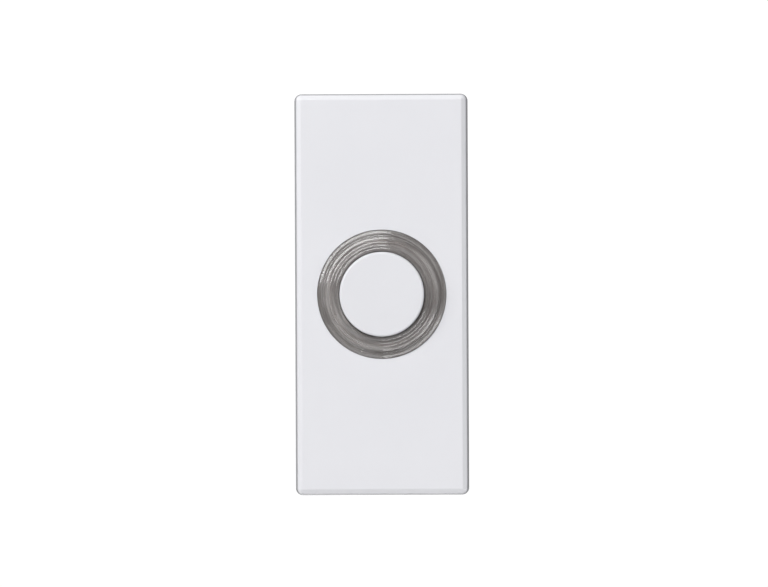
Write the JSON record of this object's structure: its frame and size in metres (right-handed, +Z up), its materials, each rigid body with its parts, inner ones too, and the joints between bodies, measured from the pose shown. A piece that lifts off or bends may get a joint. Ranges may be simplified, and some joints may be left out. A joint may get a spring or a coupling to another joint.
{
  "type": "illuminated doorbell push",
  "caption": "Slim rectangular wall-mounted bell push with a round sprung button in a clear light ring, clip-on cover and screw-down base.",
  "frame": {"origin": "middle of the back face, where the base meets the wall", "axes": "+Z up the wall, +X to the right seen from the front, -Y straight out of the wall (the front)"},
  "size_m": [0.035, 0.0183, 0.081],
  "materials": {
    "white_plastic": "moulded gloss",
    "base_plastic": "moulded matt",
    "clear_plastic": "clear polished",
    "plunger_plastic": "moulded satin",
    "holder_plastic": "moulded matt",
    "brass": "rolled strip",
    "bronze": "rolled spring strip",
    "silver": "satin",
    "spring_steel": "drawn wire",
    "zinc_steel": "zinc plated",
    "glass": "clear blown",
    "tungsten": "wire"
  },
  "bodies": {
    "base": {"base_plate": "base_plastic", "contact_strip_left": "brass", "contact_strip_right": "brass", "clamp_plate_left": "zinc_steel", "clamp_plate_right": "zinc_steel", "terminal_screw_left": "zinc_steel", "terminal_screw_right": "zinc_steel", "square_nut_left": "brass", "square_nut_right": "brass", "fixed_contact_tips": "silver", "lamp_holder": "holder_plastic", "lamp_contact_left": "bronze", "lamp_contact_right": "bronze", "lamp_rivets": "brass", "lamp_bulb": "glass", "lamp_filament": "tungsten", "return_spring": "spring_steel"},
    "cover": {"front_cover": "white_plastic", "light_ring": "clear_plastic"},
    "button": {"button_cap": "white_plastic", "button_plunger": "plunger_plastic"},
    "bridge": {"contact_bridge": "bronze", "bridge_follower": "plunger_plastic", "moving_contact_tips": "silver"}
  },
  "joints": [
    {"name": "cover_swing", "type": "hinge", "parent": "base", "child": "cover", "pos_m": [0, -0.0012, 0.0401], "axis": [-1, 0, 0], "range_deg": [0, 60]},
    {"name": "button_press", "type": "slide", "parent": "cover", "child": "button", "axis": [0, 1, 0], "range_m": [0, 0.0015], "stiffness_N_per_m": 600, "springref_m": -0.0035},
    {"name": "bridge_travel", "type": "slide", "parent": "base", "child": "bridge", "axis": [0, 1, 0], "range_m": [0, 0.0015], "deforming": ["return_spring"]}
  ],
  "couplings": [
    {"joint": "bridge_travel", "follows": "button_press", "ratio": 1}
  ]
}
